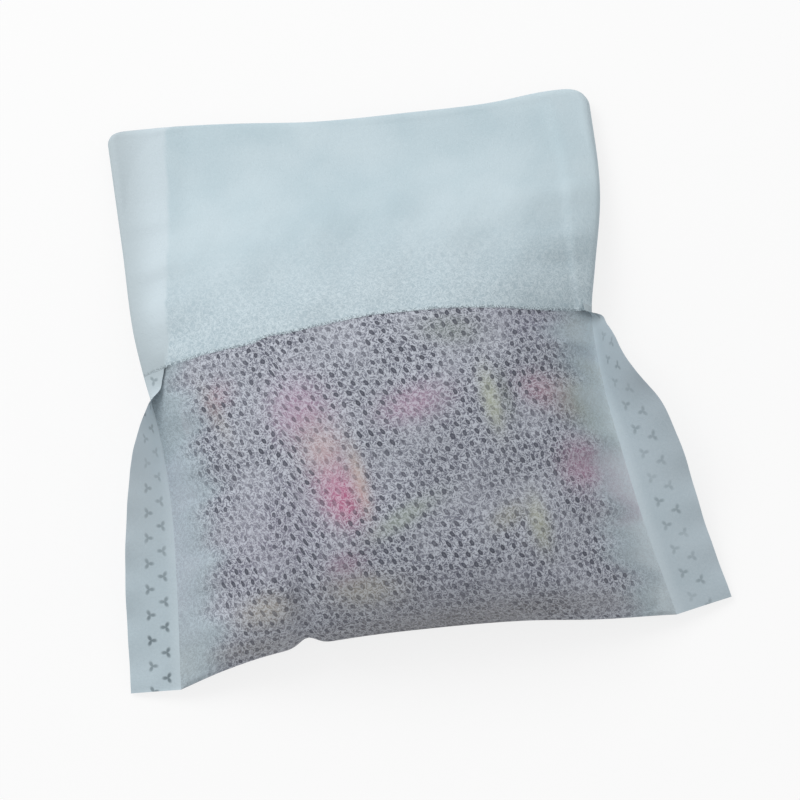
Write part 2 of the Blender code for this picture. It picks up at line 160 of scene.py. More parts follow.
def foldHeight(t, y):
    low = seamHeight(y)
    return low + (bag["foldRise"] - low) * (1 - np.abs(t) ** 4)


def backHeight(t, v):
    # flat on the table, and turned up to the seams and both folds
    x, y = planOf(t, v)
    half = bag["web"] / 2
    side = ease(bag["flatShare"], 1.25, np.abs(t)) / ease(bag["flatShare"], 1.25, 1.0)
    low = half + (seamHeight(y) - half) * side
    underFold = half + (seamHeight(bottomY(x)) - half) * side
    bottom = (1 - ease(0, bag["foldReach"], v)) * (1 - v)
    atTop = bag["topRise"] * (1 + 0.25 * np.sin(3.1 * t + 0.6)) * (1 - np.abs(t) ** 6)
    atTop = atTop + seamHeight(topY(x)) * np.abs(t) ** 6
    overTop = half + (seamHeight(topY(x)) - half) * side
    lift = bottom * (foldHeight(t, bottomY(x)) - underFold)
    return low + lift + ease(bag["hoodFrom"], 1, v) * (atTop - overTop)


def leafLumps(x, y):
    # long waves that the leaves press into the web, plus shorter ones for single leaves
    long = (0.45 * np.sin(0.36 * x + 0.23 * y + 0.7) + 0.3 * np.sin(0.21 * x - 0.47 * y + 2.1)
            + 0.25 * np.sin(0.58 * x - 0.16 * y + 4.0))
    short = np.sin(1.3 * x + 0.8 * np.sin(0.5 * y)) * np.sin(1.1 * y + 0.9 * np.sin(0.6 * x + 1))
    return long + 0.16 * short


def frontHeight(t, v):
    # a pillow over the leaves: a rounded rise from each seam and from the bottom fold
    x, y = planOf(t, v)
    seam = seamHeight(y)
    end = np.clip(v / bag["roundEnd"], 0, 1)
    rise = (1 - (1 - end) ** 2.2) ** 0.62
    fold = bag["foldRise"]
    crown = fold + (bag["crown"] * lineThrough(bag["crownAlong"], y) - fold) * rise
    toHood = ease(bag["hoodEdge"], bag["hoodFrom"] + 0.1, v)
    foot = bag["foot"] + (bag["hoodFoot"] - bag["foot"]) * toHood
    across = (1 - np.abs(t) ** bag["pillow"]) ** foot
    height = seam + (crown - seam) * across
    height = np.where(v <= 0, foldHeight(t, y), height)
    loose = ease(0, 0.1, v) * (1 - ease(0.72, 0.9, v))
    height = height + bag["lump"] * leafLumps(x, y) * loose * across
    near = np.clip((np.abs(t) - 0.6) / 0.25, 0, 1) * np.clip((1 - np.abs(t)) / 0.12, 0, 1)
    wave = np.sin(2 * math.pi * y / bag["gatherPitch"] + 2 * np.sign(t))
    fine = 0.35 * np.sin(2 * math.pi * y / 3.7 + 1.5 * np.sin(0.4 * y) + 3 * np.sign(t))
    height = height + bag["gather"] * (wave + fine) * near * loose
    at, deep, wide = bag["pinch"]
    furrow = np.exp(-(((x - at) / wide) ** 2)) * ease(0, 0.02, v)
    height = height - deep * furrow * (1 - ease(0.03, 0.12, v))
    apart = np.minimum((1 - np.abs(t)) / 0.03, 1) * np.minimum(v / 0.005, 1)
    least = backHeight(t, v) + bag["ply"] * (1 + 0.15 * (1 - t * t)) * apart
    return np.maximum(height, least)


def underFront(x, y, depth):
    # the point on the front panel over (x, y), moved down its own normal by depth
    small = 0.25
    height = frontHeight(*sharesOf(x, y))
    fallX = frontHeight(*sharesOf(x - small, y)) - frontHeight(*sharesOf(x + small, y))
    fallY = frontHeight(*sharesOf(x, y - small)) - frontHeight(*sharesOf(x, y + small))
    n = np.stack([fallX, fallY, np.full_like(height, 2 * small)], -1)
    n = n / np.linalg.norm(n, axis=-1, keepdims=True)
    return np.stack([x, y, height], -1) - n * np.asarray(depth)[..., None]


def stacked(t, v, height):
    x, y = planOf(t, v)
    return np.stack([x, y, height], -1)


def arcAlong(grid, axis):
    # length covered from the grid's first line, step by step
    step = np.linalg.norm(np.diff(grid, axis=axis), axis=-1)
    zero = np.zeros_like(np.take(step, [0], axis=axis))
    return np.cumsum(np.concatenate([zero, step], axis=axis), axis=axis)


def meshOf(name, grids):
    # each grid of points gives quads, and points that coincide become one vertex;
    # a corner keeps its grid's values
    points, faces, start = [], [], 0
    for grid in grids:
        rows, columns = grid["points"].shape[:2]
        n = np.arange(rows * columns).reshape(rows, columns) + start
        quads = np.stack([n[:-1, :-1], n[:-1, 1:], n[1:, 1:], n[1:, :-1]], -1).reshape(-1, 4)
        faces.append(quads[:, ::-1] if grid.get("faceDown") else quads)
        points.append(grid["points"].reshape(-1, 3))
        start += rows * columns
    points, faces = np.concatenate(points), np.concatenate(faces)
    points = points + np.array([*bag["middle"], 0])
    _, first, same = np.unique(np.round(points * 1e4).astype(np.int64), axis=0, return_index=True,
                               return_inverse=True)
    joined = same.reshape(-1)[faces]
    whole = (joined != np.roll(joined, 1, 1)).all(1)
    faces, joined = faces[whole], joined[whole]
    data = bpy.data.meshes.new(name)
    data.from_pydata((points[first] * mm).tolist(), [], joined.tolist())
    for key, value in grids[0].items():
        if key in ("points", "faceDown"):
            continue
        flat = np.concatenate([grid[key].reshape(-1, value.shape[-1]) for grid in grids])
        flat = flat[faces.reshape(-1)]
        if value.shape[-1] == 2:
            data.uv_layers.new(name=key).data.foreach_set("uv", flat.ravel())
        else:
            flat = np.concatenate([flat, np.ones((len(flat), 1))], 1)
            layer = data.attributes.new(key, "FLOAT_COLOR", "CORNER")
            layer.data.foreach_set("color", flat.ravel())
    # edges where three sheets meet stay sharp, so each sheet shades by itself
    ends = np.sort(np.stack([joined, np.roll(joined, -1, 1)], -1).reshape(-1, 2), 1)
    total = len(first)
    lines, count = np.unique(ends[:, 0] * total + ends[:, 1], return_counts=True)
    edges = np.empty(len(data.edges) * 2, np.int32)
    data.edges.foreach_get("vertices", edges)
    edges = np.sort(edges.reshape(-1, 2), 1).astype(np.int64)
    meeting = np.isin(edges[:, 0] * total + edges[:, 1], lines[count > 2])
    data.polygons.foreach_set("use_smooth", np.ones(len(data.polygons), bool))
    data.edges.foreach_set("use_edge_sharp", meeting)
    data.update()
    return data


def pieceOf(name, data, finish, nodes):
    piece = bpy.data.objects.new(name, data)
    bpy.context.scene.collection.objects.link(piece)
    data.materials.append(finish)
    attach(piece, "root")
    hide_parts(*nodes)
    return piece


# Material helpers

class Wire:
    # one output of a material's node tree; arithmetic on it adds Math nodes
    def __init__(self, finish, socket):
        self.finish = finish
        self.socket = socket

    def maths(self, operation, *terms):
        return self.finish.add("ShaderNodeMath", {"operation": operation}, dict(enumerate(terms)))

    def __add__(self, other):
        return self.maths("ADD", self, other)

    def __radd__(self, other):
        return self.maths("ADD", other, self)

    def __sub__(self, other):
        return self.maths("SUBTRACT", self, other)

    def __rsub__(self, other):
        return self.maths("SUBTRACT", other, self)

    def __mul__(self, other):
        return self.maths("MULTIPLY", self, other)

    def __rmul__(self, other):
        return self.maths("MULTIPLY", other, self)

    def __truediv__(self, other):
        return self.maths("DIVIDE", self, other)

    def __rtruediv__(self, other):
        return self.maths("DIVIDE", other, self)

    def __pow__(self, other):
        return self.maths("POWER", self, other)

    def __neg__(self):
        return self.maths("MULTIPLY", self, -1.0)

    def __abs__(self):
        return self.maths("ABSOLUTE", self)

    def step(self, low, high):
        # 0 below low and 1 above high, or the other way round where low is the larger
        inputs = {"Value": self, "From Min": low, "From Max": high}
        return self.finish.add("ShaderNodeMapRange", {"interpolation_type": "SMOOTHSTEP"}, inputs)


class Finish:
    # one material with a Principled shader
    def __init__(self, name, roughness=0.85):
        self.material = bpy.data.materials.new(name)
        self.material.use_nodes = True
        self.tree = self.material.node_tree
        self.shader = self.tree.nodes["Principled BSDF"]
        self.shader.inputs["Roughness"].default_value = roughness

    def add(self, kind, settings=None, inputs=None, output=0):
        node = self.tree.nodes.new(kind)
        for name, value in (settings or {}).items():
            setattr(node, name, value)
        for name, value in (inputs or {}).items():
            if isinstance(value, Wire):
                self.tree.links.new(value.socket, node.inputs[name])
            else:
                node.inputs[name].default_value = value
        return Wire(self, node.outputs[output])

    def feed(self, **inputs):
        for name, value in inputs.items():
            self.tree.links.new(value.socket, self.shader.inputs[name.replace("_", " ")])

    def mix(self, factor, first, second):
        inputs = {0: factor, 6: rgba(first), 7: rgba(second)}
        return self.add("ShaderNodeMix", {"data_type": "RGBA"}, inputs, output=2)

    def axes(self, vector):
        inputs = {0: vector}
        return tuple(self.add("ShaderNodeSeparateXYZ", None, inputs, output=k) for k in range(3))

    def vector(self, x, y, z=0.0):
        return self.add("ShaderNodeCombineXYZ", None, {0: x, 1: y, 2: z})

    def noise(self, vector, scale, detail=2.0, roughness=0.5, output=0):
        inputs = {"Vector": vector, "Scale": scale, "Detail": detail, "Roughness": roughness}
        return self.add("ShaderNodeTexNoise", None, inputs, output)


def rgba(colour):
    return colour if isinstance(colour, Wire) else (*colour, 1.0)


def srgb(code):
    # a hex colour as the linear numbers that sockets take
    parts = [int(code[i:i + 2], 16) / 255 for i in (0, 2, 4)]
    return tuple(c / 12.92 if c <= 0.04045 else ((c + 0.055) / 1.055) ** 2.4 for c in parts)


# What lies in the bag: x, y, turn, length and width in millimetres and degrees
contents = {
    "petals": {
        "bright_petal": (-11.8, -22.0, -77, 9.2, 5.8),
        "soft_petal": (-16.4, -8.2, -64, 8.6, 7.2),
        "middle_petal": (1.9, -9.1, 10, 6.0, 4.4),
        "right_petal_upper": (24.8, -10.4, -40, 7.0, 5.2),
        "right_petal_lower": (25.8, -21.4, -5, 5.4, 3.8),
        "low_petal": (-11.5, -32.6, 5, 4.6, 3.2),
        "left_petal": (-26.0, -2.6, 80, 4.6, 3.4),
    },
    "husks": {
        "petal_base": (-12.6, -14.6, -70, 4.6, 3.4),
        "low_husk": (-9.0, -36.6, -6, 8.0, 3.4),
        "corner_husk": (-24.0, -35.6, 0, 4.8, 3.4),
        "husk_bit_upper": (14.2, -28.3, 30, 4.0, 2.4),
        "husk_bit_lower": (16.2, -32.4, -40, 3.6, 2.2),
        "pale_sliver": (-2.0, -27.3, 24, 10.4, 2.2),
    },
    "greenLeaves": {
        "green_sliver": (16.4, -10.4, -84, 8.0, 1.6),
        "green_patch": (8.7, 1.8, -5, 7.0, 4.2),
    },
    "stems": {
        "left_stick": (-28.6, -4.9, -70, 9.2, 0.3),
        "green_stem": (14.4, -10.4, -84, 8.6, 0.2),
        "pale_stick": (-7.5, -21.7, -83, 10.0, 0.3),
        "right_stick": (19.6, -30.2, -83, 7.0, -0.3),
    },
    "clear": 0.3,
    "layer": 1.4,
    "stem": 1.0,
}

# What shows through the web, and painted shade: x, y, turn, half length, half width, colour, strength
tintsAndPaintedShade = (
    (-11.0, -20.4, -75, 6.4, 3.6, "DE7CAA", 0.66),
    (-10.0, -23.6, -80, 3.4, 2.6, "E24E88", 0.60),
    (-12.6, -14.4, -70, 4.4, 3.4, "CDC7B2", 0.72),
    (-14.6, -9.4, -64, 6.0, 4.4, "CFA4C4", 0.68),
    (2.2, -9.8, 10, 5.6, 3.0, "BB86A8", 0.55),
    (22.0, -8.6, -15, 3.6, 2.8, "C07C96", 0.50),
    (27.0, -10.0, -40, 4.4, 3.4, "A9A58C", 0.60),
    (29.8, -13.6, -60, 4.0, 2.6, "93A48F", 0.45),
    (27.2, -20.6, -20, 4.0, 4.2, "B8658F", 0.55),
    (-11.2, -32.8, 5, 3.4, 2.4, "B878A0", 0.40),
    (-28.0, -3.4, 80, 2.8, 2.0, "AE7484", 0.45),
    (-9.0, -36.4, -6, 6.0, 2.6, "B8B39C", 0.68),
    (-24.0, -37.0, 0, 4.6, 2.4, "BAB29B", 0.65),
    (14.2, -28.3, 30, 3.2, 1.8, "ADAE9A", 0.60),
    (18.6, -29.6, -83, 4.2, 1.6, "BBBFA6", 0.80),
    (-1.4, -26.8, 24, 6.2, 1.6, "AAB8AA", 0.75),
    (-7.6, -20.6, -83, 5.4, 1.3, "DCD3C0", 0.90),
    (14.0, -10.4, -84, 5.0, 1.5, "C4CBB2", 0.90),
    (16.4, -9.6, -84, 4.2, 1.0, "4A5B46", 0.60),
    (9.6, 1.8, -5, 5.4, 2.6, "7F8F78", 0.50),
    (-28.4, -5.4, -70, 5.4, 1.2, "B0A999", 0.40),
    (-20.0, -26.0, 30, 11.0, 8.0, "9C8CA6", 0.25),
    (7.0, -20.7, 0, 11.0, 7.0, "62646F", 0.36),
    (20.0, 2.6, 0, 9.0, 3.0, "8D889E", 0.35),
    # painted shadow: the dark patch in the fold under the hood's right corner
    (30.2, 2.2, 0, 3.0, 1.9, "56503F", 1.0),
    # painted shade: the bottom fold and the low pouch darker, as the light falls off towards the
    # bottom
    (4.0, -41.6, 0, 26.0, 2.2, "5E574C", 0.75),
    (2.0, -37.5, 0, 22.0, 3.6, "5C5A66", 0.45),
    (-26.0, -41.6, 0, 9.0, 1.4, "8A8270", 0.40),
)


def tintAndPaintedShadeAt(x, y):
    # colour and strength of what shows through the web, and of painted shade, at plan points, each
    # piece a soft oval
    colour = np.zeros(x.shape + (3,))
    strength, total = np.zeros(x.shape), np.zeros(x.shape)
    for px, py, turn, long, wide, code, share in tintsAndPaintedShade:
        c, s = math.cos(math.radians(turn)), math.sin(math.radians(turn))
        dx, dy = x - px, y - py
        a, b = (c * dx + s * dy) / long, (-s * dx + c * dy) / wide
        soft = share * np.exp(-((a * a + b * b) ** 1.15))
        colour = colour + soft[..., None] * np.array(srgb(code))
        strength = np.maximum(strength, soft) + 0.25 * np.minimum(strength, soft)
        total = total + soft
    return colour / np.maximum(total, 1e-5)[..., None], np.clip(strength, 0, 1)


webLook = {
    "fibre": "C4C9D3",
    "filledGround": "6F7281",
    "bareFibre": "B7C6CE",  # the same where nothing lies under the web
    "bareGround": "AEBDC6",
    "raisedGround": "A3A6B2",  # where the web stands off the leaves
    "hoodFibre": "DAE7ED",
    "hoodGround": "BED1D9",
    "cloud": "CEDEE5",
    "hoodLow": "A9BBC4",  # near the hood's free edge
    "hoodDot": "8FA2AC",
    "band": "CEDCE3",
    "bandEdge": "BCC9CF",
    # painted shade: where the strips and the hood's band meet at the waist
    "waistShade": "B5C2C8",
    "sealed": "B0BFC8",
    # painted light: the left strip is paler, as if lit from the left
    "sealedLeftLit": "B9CAD3",
    "sealedPatch": "A0B2BB",
    "sealedFibre": "C4D0D6",
    "paintedSeamLight": "DFEBF1",  # painted light: paler along the seams, against the shade in the creases
    "dot": "50535F",
    "dotMiddle": "6C6F7B",
    "mark": "687880",
    "fibreTurns": (8, 42, 77, 113, 151),  # degrees
    "fibreAlong": 1.5,  # streaks per mm, along and across them
    "fibreAcross": 5.5,
    "fibreCrest": (0.57, 0.71),  # the noise values between which a streak fades in
    "curlScale": 1.5,
    "curl": 0.8,
    "dotWide": 0.29,
    "dotTall": 0.40,
    "dotPitch": 1.857,
    "rowPitch": 1.65,
    "lean": 0.25,
    "fibreAlpha": 0.95,
    "gapAlpha": 0.84,
    "dotAlpha": 0.80,
    "hoodAlpha": 0.95,
    "sealAlpha": 0.95,
    "markPitch": 3.9,
    "markReach": ((2.0, 4.35), (3.2, 5.5)),  # from the left and the right seam
}


def webFinish():
    look = webLook
    f = Finish("nonwoven_web", 0.9)
    cloth = f.add("ShaderNodeUVMap", {"uv_map": "clothMm"})
    seal = f.add("ShaderNodeUVMap", {"uv_map": "sealMm"})
    under = f.add("ShaderNodeAttribute", {"attribute_name": "under"})
    kind = f.add("ShaderNodeAttribute", {"attribute_name": "kind"})
    u, s, _ = f.axes(cloth)
    strength, hood, filled = f.axes(kind)
    wander = f.noise(cloth, 0.22, 1.0, output=1)
    wx, wy, _ = f.axes(wander)

    # fibres: the crests of stretched noises, so thin short streaks at several angles, bent by
    # a finer wander
    bend = f.noise(cloth, look["curlScale"], 0.0, output=1)
    bx, by, _ = f.axes(bend)
    cu, cs = u + (bx - 0.5) * look["curl"], s + (by - 0.5) * look["curl"]
    fibres = None
    for number, turn in enumerate(look["fibreTurns"]):
        c, n = math.cos(math.radians(turn)), math.sin(math.radians(turn))
        run, off = (cu * c + cs * n) * look["fibreAlong"], (cs * c - cu * n) * look["fibreAcross"]
        line = f.noise(f.vector(run, off, 7.0 * number), 1.0, 0.0).step(*look["fibreCrest"])
        fibres = line if fibres is None else fibres.maths("MAXIMUM", fibres, line)
    cloudy = f.noise(cloth, 0.16, 3.0)
    broad = f.noise(cloth, 0.05, 2.0)
    grain = f.noise(cloth, 2.6, 2.0)

    # bond points: leaning ovals, every second row set off by half a pitch
    du, ds = u + (wx - 0.5) * 1.3, s + (wy - 0.5) * 1.3
    row = ds / look["rowPitch"]
    floorRow = row.maths("FLOOR", row)
    across = du / look["dotPitch"] + abs(floorRow.maths("MODULO", floorRow, 2.0)) * 0.5
    dx = (across.maths("FRACT", across) - 0.5) * look["dotPitch"]
    dy = (row.maths("FRACT", row) - 0.5) * look["rowPitch"]
    dx = dx - dy * look["lean"] + (grain - 0.5) * 0.15
    away = ((dx / look["dotWide"]) ** 2.0 + (dy / look["dotTall"]) ** 2.0) ** 0.5
    dots = away.step(1.3, 0.9)
    rims = away.step(2.0, 1.5) - away.step(1.5, 1.2)

    # sealed strips: flat, with two columns of three-armed marks that point at each other
    reach, place, _ = f.axes(seal)
    sealed = reach.step(-0.6, 0.0)
    isLeft = u.step(0.5, -0.5)
    marks = None
    for leftAt, rightAt, shift, way in ((*(k[0] for k in look["markReach"]), 0.0, 1.0),
                                        (*(k[1] for k in look["markReach"]), 0.5, -1.0)):
        along = place / look["markPitch"] + shift
        my = (along.maths("FRACT", along) - 0.5) * look["markPitch"]
        mx = (reach - rightAt + isLeft * (rightAt - leftAt)) * way
        angle = mx.maths("ARCTAN2", my, mx)
        radius = (mx ** 2.0 + my ** 2.0) ** 0.5
        arm = (angle * 3.0).maths("COSINE", angle * 3.0) * 0.32 + 0.50
        mark = (radius - arm).step(0.30, -0.25)
        marks = mark if marks is None else marks.maths("MAXIMUM", marks, mark)
    marks = marks * sealed * (cloudy * 1.1 - 0.15 + isLeft * (place.step(30.0, 8.0) * 0.45))
    plain = 1.0 - sealed

    # colour: pale fibres over a ground that darkens where leaves lie under it
    patchy = (cloudy + (grain - 0.5) * 0.6).step(0.3, 0.7)
    ground = f.mix(filled, srgb(look["bareGround"]), srgb(look["filledGround"]))
    fibre = f.mix(filled, srgb(look["bareFibre"]), srgb(look["fibre"]))
    raised = f.noise(cloth, 0.11, 2.0).step(0.42, 0.66)
    ground = f.mix((raised * 0.6 + patchy * 0.15) * filled, ground,
                   srgb(look["raisedGround"]))
    # the attribute holds what shows through the web, with painted shade and painted light mixed in
    ground = f.mix(strength * 0.8, ground, under)
    fibre = f.mix(strength * 0.5, fibre, under)
    dotted = dots * filled * (0.45 + cloudy) * (1.0 - raised * 0.55) * (1.0 - strength * 0.7)
    fabric = f.mix(fibres * (1.0 - dotted) + rims * 0.2 * filled, ground, fibre)
    dot = f.mix(away.step(0.8, 0.2), srgb(look["dot"]), srgb(look["dotMiddle"]))
    fabric = f.mix(dotted, fabric, dot)

    veil = f.mix(broad.step(0.35, 0.65) * 0.7, srgb(look["hoodGround"]), srgb(look["cloud"]))
    veil = f.mix(filled * 0.75, veil, srgb(look["hoodLow"]))
    veil = f.mix(fibres * filled * 0.55 + patchy * 0.15, veil, srgb(look["hoodFibre"]))
    veil = f.mix(dots * filled * patchy * 0.22, veil, srgb(look["hoodDot"]))
    veil = f.mix(strength, veil, under)
    base = f.mix(hood, fabric, veil)

    # painted light: the left strip is painted paler than the right, against the shade its turned-up
    # faces take
    band = f.mix(isLeft, srgb(look["sealed"]), srgb(look["sealedLeftLit"]))
    band = f.mix(patchy * 0.3, band, srgb(look["sealedPatch"]))
    band = f.mix(fibres * 0.12, band, srgb(look["sealedFibre"]))
    # painted light: the left strip's steep upper part and both strips at their seams are painted
    # paler, against the shade they take
    band = f.mix((isLeft * place.step(14.0, 34.0) + reach.step(2.2, 0.0) * 0.5) * 0.45, band,
                 srgb(look["paintedSeamLight"]))
    # painted shade: the strips darken towards the waist, in its crease
    band = f.mix(place.step(44.0, 52.0), band, srgb(look["waistShade"]))
    band = f.mix(marks, band, srgb(look["mark"]))
    base = f.mix(sealed, base, band)

    thick = look["gapAlpha"] + fibres * (look["fibreAlpha"] - look["gapAlpha"])
    thick = thick - dots * (look["gapAlpha"] - look["dotAlpha"])
    # in the hood, place is the distance from its free edge, where the fibres thin out
    thinning = (place + fibres * 0.5).step(-0.2, 0.8)
    thick = thick * (1.0 - hood) + hood * thinning * look["hoodAlpha"]
    thick = thick * plain + sealed * look["sealAlpha"]
    f.feed(Base_Color=base, Alpha=thick)
    height = fibres * 0.5 + grain * 0.2 - dots * 0.5 * plain - marks * 0.8
    bump = f.add("ShaderNodeBump", None, {"Strength": 0.3, "Distance": 0.0001, "Height": height})
    f.feed(Normal=bump)
    return f.material


# The web: one sheet, folded at the bottom and at the top, sealed to itself along both sides
webCut = {
    "flat": (0.095, 0.218),  # width with both seals, length of front, back and hood
    "across": 128,
    "pouchRows": 96,
    "hoodRows": 60,
    "sealColumns": 14,
}


def stationShares():
    # the grid is denser at the seams, at the bottom fold and on both sides of the hood's free edge
    turn = 0.82 * math.pi / 2
    t = np.sin(np.linspace(-turn, turn, webCut["across"] + 1)) / math.sin(turn)
    s = np.linspace(0, 1, webCut["pouchRows"] + 1)
    pouch = bag["hoodEdge"] * (0.55 * s**1.3 + 0.45 * (1 - np.cos(math.pi * s)) / 2)
    s = np.linspace(0, 1, webCut["hoodRows"] + 1)[1:]
    hood = bag["hoodEdge"] + (1 - bag["hoodEdge"]) * np.sin(s * math.pi / 2) ** 0.9
    return t, np.concatenate([pouch, hood])


def sealStrip(seam, over, turn, side, widths):
    # a strip square to its seam: it stands out level, turns over the front as the angle grows,
    # and then lies on it
    width = widths[:, None]
    reach = width * np.linspace(0, 1, webCut["sealColumns"] + 1)
    run = np.gradient(seam, axis=0)[:, :2]
    run = run / np.linalg.norm(run, axis=1, keepdims=True)
    out = np.stack([run[:, 1], -run[:, 0]], -1) * side
    y = seam[:, 1]
    degrees = lineThrough(turn, y)
    angle = np.radians(degrees)[:, None]
    droop = bag["droop"] * reach**2 / width * (1 - ease(0, 40, degrees))[:, None]
    level = reach * np.cos(angle)
    height = seam[:, 2:] + reach * np.sin(angle) - droop
    ripple = 0.22 * np.sin(y * 0.9 + 2 * side)[:, None] * (reach / width) ** 2
    straight = np.stack([seam[:, :1] + level * out[:, :1], seam[:, 1:2] + level * out[:, 1:],
                         height + ripple], -1)
    covered = arcAlong(over, 1)
    lying = np.stack([[np.interp(reach[k], covered[k], over[k, :, axis]) for axis in range(3)]
                      for k in range(len(over))]).transpose(0, 2, 1)
    within = bag["turnedWithin"]
    turned = ease(-within, within / 3, y - turn[-1][0])[:, None, None]
    strip = straight * (1 - turned) + lying * turned
    strip[:, 0] = seam
    return strip, reach


def webGrids():
    t, v = stationShares()
    tt, vv = np.meshgrid(t, v)
    # the grid's lines bend with the hood's free edge, and straighten away from it
    near = ease(0.25, bag["hoodEdge"], vv) * (1 - ease(bag["hoodEdge"], 0.85, vv))
    vv = vv + near * (lineThrough(bag["edgeAcross"], tt) - bag["hoodEdge"])
    back = stacked(tt, vv, backHeight(tt, vv))
    front = stacked(tt, vv, frontHeight(tt, vv))
    for edge in (0, -1):
        back[:, edge, 2] = front[:, edge, 2] = seamHeight(back[:, edge, 1])
    back[0] = front[0]
    front[-1] = back[-1]
    fromLeft = arcAlong(front, 1)
    fromRight = fromLeft[:, -1:] - fromLeft
    fromTop = (1 - vv) * (front[-1, :, 1] - front[0, :, 1])
    rise = roundUp(np.minimum(fromLeft, fromRight), 0.9) * roundUp(fromTop, bag["topRound"])
    rise[:, [0, -1]] = rise[-1] = 0
    seamY = front[:, :, 1][:, [0, -1]]
    leftSeal = bag["leftSeal"] * lineThrough(bag["leftWidth"], seamY[:, 0])
    rightSeal = bag["rightSeal"] * lineThrough(bag["rightWidth"], seamY[:, 1])
    onLeft = 1 - ease(0.95, 1.4, fromLeft / leftSeal[:, None])
    onRight = 1 - ease(0.95, 1.4, fromRight / rightSeal[:, None])
    # the hood's own edge is sealed down on the strips
    fromEdge = (vv - lineThrough(bag["edgeAcross"], tt)) * (front[-1, :, 1] - front[0, :, 1])
    loose = 1 - (1 - ease(0, 5, fromEdge)) * np.maximum(onLeft, onRight)
    near = (1 - ease(0, 5, fromEdge)) * (1 - np.maximum(onLeft, onRight))
    ply = bag["ply"]
    lifted, hood = front.copy(), front.copy()
    lifted[..., 2] += ply * rise
    over = 1.04 - 0.88 * near + (0.06 + 0.9 * np.maximum(onLeft, onRight)) * loose
    hood[..., 2] += ply * over * rise
    half = len(t) // 2
    leftStrip, leftReach = sealStrip(front[:-1, 0], lifted[:-1, :half], bag["leftTurn"], -1,
                                     leftSeal[:-1])
    rightStrip, rightReach = sealStrip(front[:-1, -1], lifted[:-1, :-half:-1], bag["rightTurn"], 1,
                                       rightSeal[:-1])
    edgeRow = webCut["pouchRows"]
    mouthRow = int(np.searchsorted(v, bag["mouthEdge"]))
    backLength = arcAlong(back, 0)[-1:].mean()

    def grid(points, length, down=False):
        # cloth coordinates in mm: across from the middle, and along the web from the bottom fold
        across = arcAlong(points, 1)
        across = across - across[:, across.shape[1] // 2:][:, :1]
        colour, strength = tintAndPaintedShadeAt(points[..., 0], points[..., 1])
        t, v = sharesOf(points[..., 0], points[..., 1])
        t = t + 0.03 * np.sin(0.55 * points[..., 1] + 1) + 0.02 * np.sin(1.2 * points[..., 1])
        filled = (1 - ease(0.74, 0.93, np.abs(t))) * (1 - ease(0.66, 0.8, v))
        strength = strength * (1 - ease(0.92, 1.0, np.abs(t)))
        # painted light: both panels are painted paler next to the seams, more on the right, against
        # the shade in the creases
        seamLitPaint = ease(0.84, 1.0, np.abs(t)) * np.where(t > 0, 0.8, 0.4)
        colour = colour + seamLitPaint[..., None] * (np.array(srgb(webLook["paintedSeamLight"])) - colour)
        strength = np.maximum(strength, seamLitPaint)
        kind = np.stack([strength, 0 * strength, filled], -1)
        seal = np.full(points.shape[:2] + (2,), -5.0)
        return {"points": points, "clothMm": np.stack([across, length], -1), "sealMm": seal,
                "under": colour, "kind": kind, "faceDown": down}

    grids = [
        grid(back, arcAlong(back, 0), True),
        grid(front[:mouthRow + 1], -arcAlong(front[:mouthRow + 1], 0)),
        grid(hood[edgeRow:], backLength + arcAlong(hood[edgeRow:][::-1], 0)[::-1]),
    ]
    # the strips show through the hood as a paler band, the right one only at its top; painted shade
    # darkens the band towards the waist
    inHood = grids[2]
    share = (fromLeft / leftSeal[:, None])[edgeRow:]
    left = 1 - ease(0.97, 1.02, share)
    rightBand = 1 - ease(0.8, 1.05, (fromRight / rightSeal[:, None])[edgeRow:])
    rightBand = 0.3 * rightBand * ease(0.8, 0.97, vv[edgeRow:])
    # painted shade: the band darkens towards the hood's free edge at the waist
    toWaistShade = (1 - ease(0, 9, fromEdge[edgeRow:]))[..., None]
    pale = np.array(srgb(webLook["band"])) + (1 - ease(0, 0.8, share))[..., None] * (
        np.array(srgb(webLook["bandEdge"])) - np.array(srgb(webLook["band"])))
    inHood["under"] = pale * (1 - toWaistShade) + np.array(srgb(webLook["waistShade"])) * toWaistShade
    inHood["kind"][..., 0] = np.maximum(left, rightBand)
    inHood["kind"][..., 1] = 1
    inHood["sealMm"][..., 1] = fromEdge[edgeRow:]
    inHood["kind"][..., 2] = 1 - ease(1, 24, fromEdge[edgeRow:])  # how plainly its fibres show
    for strip, reach, side in ((leftStrip, leftReach, -1), (rightStrip, rightReach, 1)):
        rowArc = arcAlong(strip[:, :1], 0)
        made = grid(strip, rowArc + 0 * strip[..., 0], side < 0)
        made["clothMm"] = np.stack([side * (38 + reach), rowArc + 0 * reach], -1)
        made["sealMm"] = np.stack([reach, rowArc + 0 * reach], -1)
        made["kind"][..., 0] = 0
        grids.append(made)
    return grids


print("web")
web = pieceOf("filter_web", meshOf("filter_web", webGrids()), webFinish(),
              ["filter_bag"])
print("web faces", len(web.data.polygons))


# Petals, husks and leaves

flake = {"long": 22, "wide": 10, "thick": 0.18, "leaves": 20, "leafLong": 6.2, "leafWide": 2.0,
         "leafTurns": 6, "spiral": 3.1, "seedAngle": 137.5}


def lineOf(x, y, turn, length):
    s = np.linspace(-0.5, 0.5, 5) * length
    return np.stack([x + s * math.cos(math.radians(turn)), y + s * math.sin(math.radians(turn))], -1)


